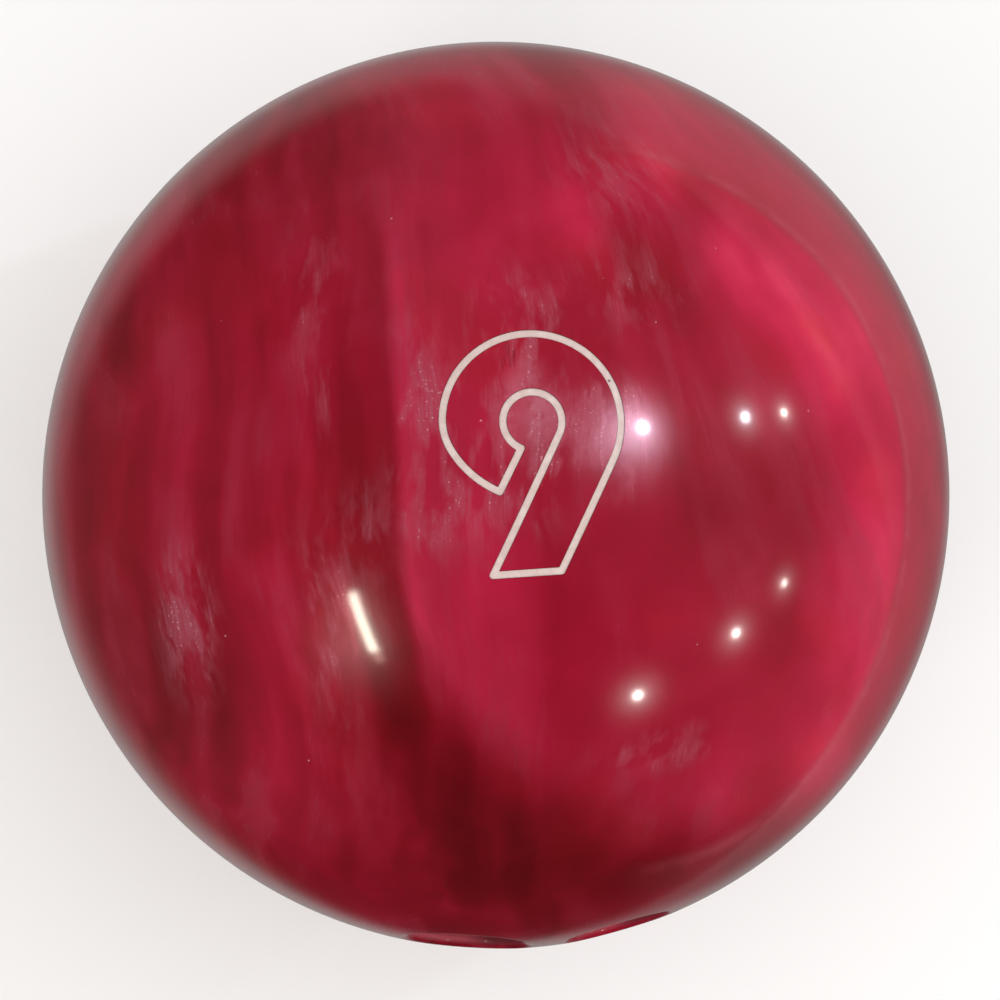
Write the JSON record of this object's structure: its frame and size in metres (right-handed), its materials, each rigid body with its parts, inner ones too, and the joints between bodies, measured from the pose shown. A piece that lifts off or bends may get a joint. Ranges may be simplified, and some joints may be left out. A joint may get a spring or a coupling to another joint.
{
  "type": "ten-pin bowling ball",
  "caption": "Drilled ten-pin bowling ball: a pearly crimson cast shell over a filled core, with finger and thumb holes and an outlined weight number.",
  "frame": {"origin": "middle of the ball", "axes": "+Z through the middle of the weight number, +Y the way the number's top points; the two finger holes are on the -Y side and the thumb hole is below them"},
  "size_m": [0.2172, 0.2172, 0.2172],
  "materials": {
    "coverstock": "polished pearl polyester",
    "filler_core": "cast filler, drilled",
    "weight_block": "cast dense resin, drilled",
    "locator_pin": "polished plug",
    "number_inlay": "satin fill",
    "balance_mark_inlay": "satin fill"
  },
  "bodies": {
    "root": {"coverstock": "coverstock", "filler_core": "filler_core", "weight_block": "weight_block", "locator_pin": "locator_pin", "number_inlay": "number_inlay", "balance_mark_inlay": "balance_mark_inlay"}
  },
  "joints": []
}
